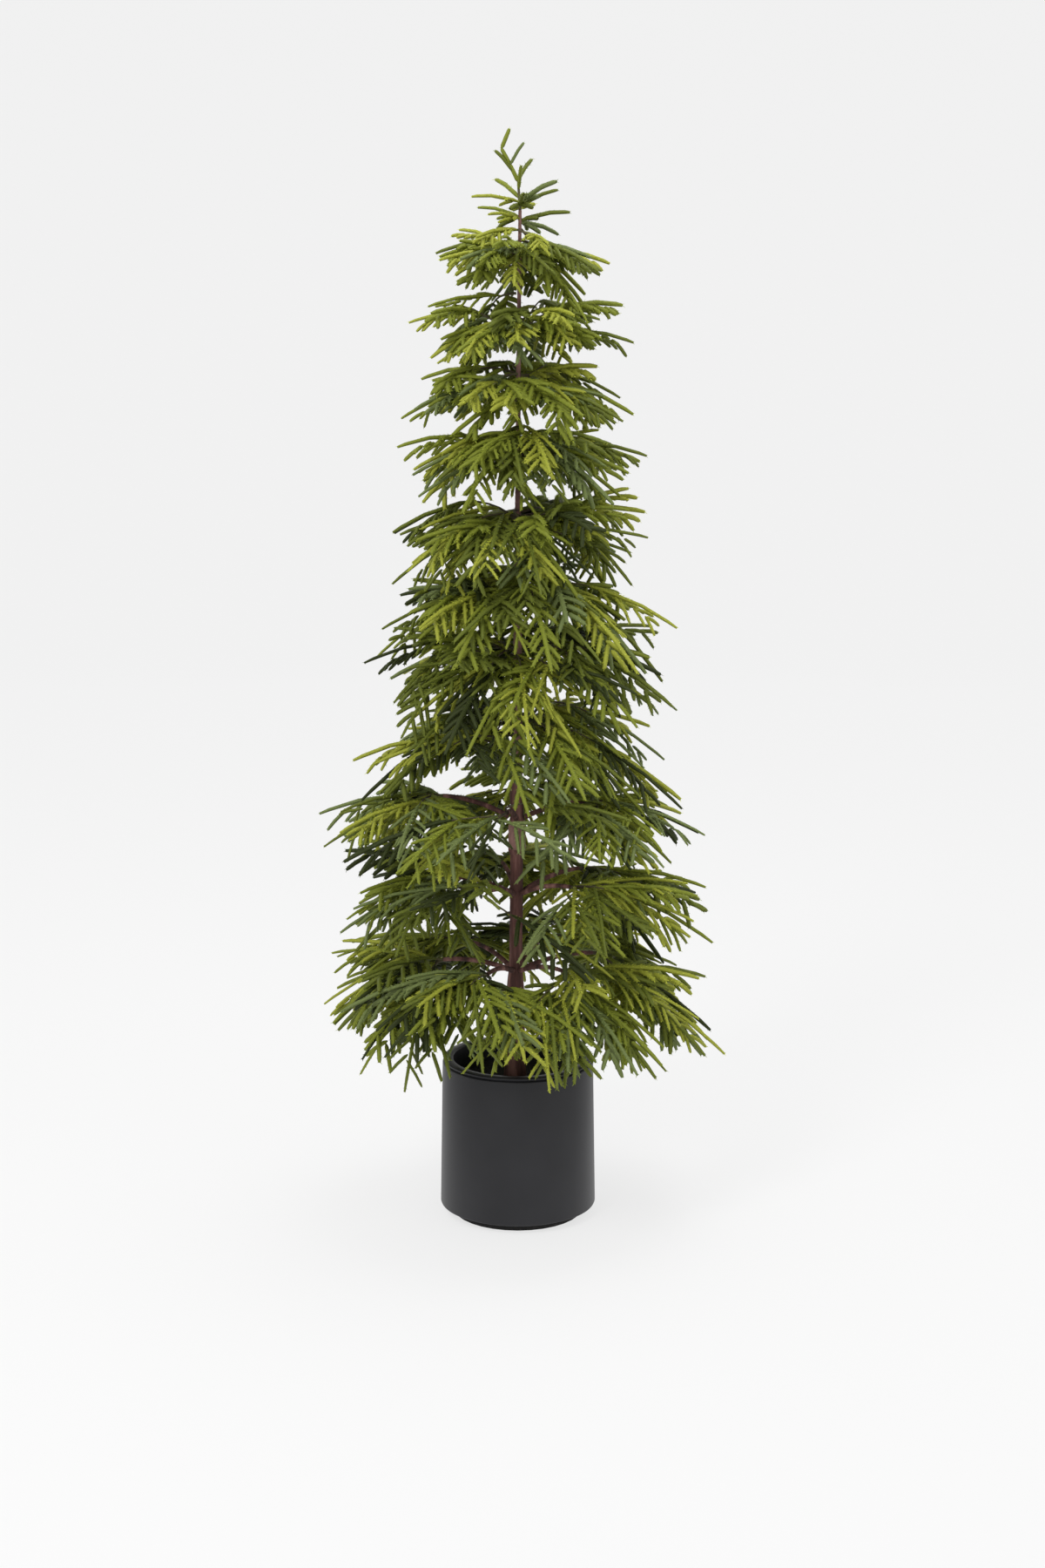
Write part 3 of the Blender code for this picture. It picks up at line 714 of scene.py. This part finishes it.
def grow_leader(twigs):
    """The shoot above the trunk: its bent stem, a whorl at its foot, and sprays in a spiral."""
    index = len(TIERS)
    rng = random.Random(index)
    points = [Vector((x, 0.0, z)) for x, z in LEADER_BEND]
    tip = Vector((LEADER_TIP[0], 0.0, LEADER_TIP[1]))
    line = points + [tip]
    twigs.add(line, LEADER_RADII, TWIG_SIDES)
    fingers = []
    for low, high in zip(line[1:], line[2:]):
        stretch = high - low
        fingers.append(Finger(low, stretch.normalized(), stretch.length, 0.0, 0, LEADER_WIDTH))
    for number in range(WHORL_SPRAYS):
        azimuth = 2 * math.pi * number / WHORL_SPRAYS + rng.uniform(-WHORL_STRAY, WHORL_STRAY)
        direction = Vector((math.cos(azimuth), math.sin(azimuth), rng.uniform(*WHORL_SLOPE)))
        root = points[0] - Vector((0, 0, rng.uniform(*WHORL_SHIFT)))
        fingers += spray_fingers(index, rng, root, direction, 0.0, WHORL_SPRAY, 1)
    for number in range(LEADER_SPRAYS):
        share = LEADER_SPAN[0] + LEADER_SPAN[1] * number / LEADER_SPRAYS
        root, _ = along(points, share)
        azimuth = GOLDEN_TURN * number
        slope = LEADER_SLOPE[0] + LEADER_SLOPE[1] * share
        direction = Vector((math.cos(azimuth), math.sin(azimuth), slope))
        length = LEADER_SPRAY * (1.0 - LEADER_SHRINK * share)
        fingers += spray_fingers(index, rng, root, direction, 0.0, length, 0)
    return fingers


def column(values):
    return values[:, None]


def unit(vectors, least=0.0):
    """Rows scaled to length one, where no length is taken to be below the least."""
    return vectors / column(np.maximum(np.linalg.norm(vectors, axis=1), least))


def needle_arrays(fingers, seed):
    """Corners, faces and greens of the needles that stand round every finger, as arrays."""
    rng = np.random.default_rng(seed)
    counts = np.array([max(FEWEST_NEEDLES, int(one.length / NEEDLE_PITCH)) for one in fingers])
    owner = np.repeat(np.arange(len(fingers)), counts)
    number = np.concatenate([np.arange(count) for count in counts])
    share = (number + 0.5) / counts[owner]

    def of_owner(field):
        return np.array([getattr(finger, field) for finger in fingers])[owner]

    ahead = of_owner("ahead")
    length = of_owner("length")
    sag = of_owner("sag")
    up = np.array(UP)
    middle = of_owner("root") + ahead * column(length * share) - up * column(sag * length * share**2)
    heading = unit(ahead - up * column(2 * sag * share))
    side = unit(np.cross(up, heading), least=1e-6)
    top = np.cross(heading, side)
    angle = number * GOLDEN_TURN + owner * TURN_BY_FINGER
    out = side * column(np.cos(angle)) + top * column(np.sin(angle) * NEEDLE_FLATNESS)
    lean = NEEDLE_LEAN[0] + (NEEDLE_LEAN[1] - NEEDLE_LEAN[0]) * share**2
    lean = lean * rng.uniform(*NEEDLE_LEAN_SHARE, len(owner))
    pointing = heading * column(np.cos(lean)) + out * column(np.sin(lean))
    swell = np.sin(math.pi * np.clip(share * NEEDLE_LENGTH_PEAK, 0, 1))
    swell = NEEDLE_LENGTH_AT_ROOT + (1 - NEEDLE_LENGTH_AT_ROOT) * swell
    reach = NEEDLE_LENGTH * of_owner("width") * swell
    reach = reach * rng.uniform(*NEEDLE_LENGTH_SHARE, len(owner))
    flat = unit(np.cross(pointing, top), least=1e-6)
    face_up = np.cross(flat, pointing)
    left = middle + flat * NEEDLE_HALF_WIDTH
    right = middle - flat * NEEDLE_HALF_WIDTH
    ridge = middle + face_up * NEEDLE_HALF_WIDTH * NEEDLE_RIDGE_HEIGHT
    ridge = ridge + pointing * column(NEEDLE_RIDGE_PLACE * reach)
    tip = middle + pointing * column(reach)
    corners = np.stack((left, right, ridge, tip), axis=1).reshape(-1, 3)
    first = column(np.arange(len(owner)) * 4)
    pattern = np.array(((0, 2, 3), (2, 1, 3), (1, 0, 3)))
    faces = (first[:, None, :] + pattern[None, :, :]).reshape(-1, 3)
    return corners, faces, np.repeat(of_owner("green"), len(pattern))


def finger_cores(fingers):
    """A slim core inside each finger, so that its needles close round it."""
    cores = Tubes()
    for finger in fingers:
        points = []
        radii = []
        for share, width in FINGER_SHAPE:
            drop = Vector((0, 0, finger.sag * finger.length * share**2))
            points.append(finger.root + finger.ahead * finger.length * share - drop)
            radii.append(FINGER_CORE_RADIUS * width * finger.width)
        cores.add(points, radii, FINGER_SIDES, finger.green)
    return cores


def grow_tier(index, twigs):
    """Fingers of all masses of one tier."""
    tier = TIERS[index]
    half_width = math.pi / tier.count
    fingers = []
    for place in range(tier.count):
        middle = math.radians(tier.turn) + 2 * half_width * place
        start_run = trunk_radius(tier.height) + GAP
        if tier.bough:
            start_run = BOUGH_SHARE * tier_reach(tier, middle) + GAP
        fingers += grow_mass(index, middle, half_width, start_run, twigs)
    return fingers


def dress_foliage(twig_brown, greens, painted_shade_core_greens):
    """Every tier's needles, twigs and finger cores as a piece each, in place of its masses."""
    for index in range(len(TIERS) + 1):
        twigs = Tubes()
        if index == len(TIERS):
            name = "leader"
            nodes = ["leader_mass"]
            fingers = grow_leader(twigs)
        else:
            name = f"tier{index + 1:02d}"
            nodes = [f"{name}_mass{place + 1}" for place in range(TIERS[index].count)]
            fingers = grow_tier(index, twigs)
        corners, faces, marks = needle_arrays(fingers, index)
        needles = mesh_object(f"{name}_needles", corners, faces, greens, marks, smooth=False)
        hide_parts(*nodes)
        for piece, slot in (
            (needles, "needle_green"),
            (twigs.finished(f"{name}_twigs", (twig_brown,)), "bark_brown"),
            # The finger cores take the darker copies of the greens, painted shade within each finger
            (finger_cores(fingers).finished(f"{name}_finger_cores", painted_shade_core_greens), "needle_green"),
        ):
            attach(piece, "root")


def turned(name, points, steps, face_outward=False):
    """A profile in the XZ plane turned round Z."""
    profile = bpy.data.meshes.new(name)
    edges = [(step, step + 1) for step in range(len(points) - 1)]
    profile.from_pydata([(x, 0.0, z) for x, z in points], edges, [])
    made = bpy.data.objects.new(name, profile)
    bpy.context.scene.collection.objects.link(made)
    turn = made.modifiers.new("Turn", "SCREW")
    turn.steps = steps
    turn.render_steps = steps
    turn.use_smooth_shade = True
    turn.use_merge_vertices = True
    turn.merge_threshold = MERGE_WITHIN
    turn.use_normal_calculate = face_outward
    return made


def pot_profile():
    """The shell's outline, from the middle of its underside, up the wall and into the mouth."""
    profile = [(0.0, POT_SHELL_BOTTOM)]
    for radius, height, edge in (
        (POT_BASE_RADIUS, POT_SHELL_BOTTOM, POT_BASE_EDGE),
        (POT_RIM_RADIUS, POT_GROOVE_BOTTOM, POT_WALL_EDGE + POT_GROOVE + POT_LIP_EDGE),
        (POT_MOUTH_RADIUS, POT_HEIGHT, POT_MOUTH_EDGE),
    ):
        profile += [(radius - inset, height + rise) for inset, rise in edge]
    return profile + [(POT_MOUTH_RADIUS, FILL_TOP - POT_SHELL_DEPTH_IN_FILL)]


def dress_pot():
    """The pot as a smooth turned shell with a grooved rim, and its foot and filling. The foot takes
    the filling's near black as painted shade under the pot.
    """
    pot = turned("pot_shell", pot_profile(), POT_SIDES, face_outward=True)
    pot.data.materials.append(pot_material())
    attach(pot, "root")
    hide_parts("pot_body")
    dark = filling_and_foot_shade_material()
    # The foot takes the filling's near black as painted shade under the pot
    for name in ("pot_foot", "pot_fill"):
        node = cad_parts[name]
        node.data.materials.clear()
        node.data.materials.append(dark)


def build_stage():
    """A round pale floor that sweeps up into a wall, all the way round."""
    flat = STAGE_RADIUS - STAGE_BEND
    points = [(0.0, 0.0), (flat, 0.0)]
    for step in range(1, STAGE_BEND_STEPS + 1):
        angle = math.pi / 2 * step / STAGE_BEND_STEPS
        points.append((flat + STAGE_BEND * math.sin(angle), STAGE_BEND * (1 - math.cos(angle))))
    points.append((STAGE_RADIUS, STAGE_HEIGHT))
    stage = turned("stage", points, STAGE_SIDES)
    material, shader = principled("stage_white", (STAGE_WHITE,) * 3, roughness=0.9)
    shader.inputs["Emission Color"].default_value = (1.0, 1.0, 1.0, 1.0)
    shader.inputs["Emission Strength"].default_value = STAGE_GLOW
    shader.inputs["Specular IOR Level"].default_value = 0.1
    stage.data.materials.append(material)


def add_area_light(lamp):
    light = bpy.data.lights.new(lamp.name, "AREA")
    light.size = lamp.size
    light.energy = lamp.power
    made = bpy.data.objects.new(lamp.name, light)
    made.location = lamp.place
    towards_crown = Vector(CROWN_MIDDLE) - Vector(lamp.place)
    made.rotation_euler = towards_crown.to_track_quat("-Z", "Y").to_euler()
    bpy.context.scene.collection.objects.link(made)


def light_scene():
    world = bpy.data.worlds.new("studio")
    world.use_nodes = True
    background = world.node_tree.nodes["Background"]
    background.inputs["Color"].default_value = (1.0, 1.0, 1.0, 1.0)
    background.inputs["Strength"].default_value = WORLD_STRENGTH
    bpy.context.scene.world = world
    for lamp in LAMPS:
        add_area_light(lamp)
    bpy.context.scene.view_settings.view_transform = "Standard"


def place_camera():
    lens = bpy.data.cameras.new("camera")
    lens.lens = CAMERA_LENS
    lens.sensor_width = CAMERA_SENSOR
    camera = bpy.data.objects.new("camera", lens)
    camera.location = CAMERA_PLACE
    camera.rotation_euler = (CAMERA_TILT, 0.0, 0.0)
    bpy.context.scene.collection.objects.link(camera)
    bpy.context.scene.camera = camera


def main():
    bark = bark_material()
    relief_trunk(bark, tape_material())
    twisted_boughs(bark)
    dress_foliage(twig_material(), needle_materials(1.0, ""), needle_materials(CORE_SHADE, "_core"))
    dress_pot()
    build_stage()
    light_scene()
    place_camera()


main()
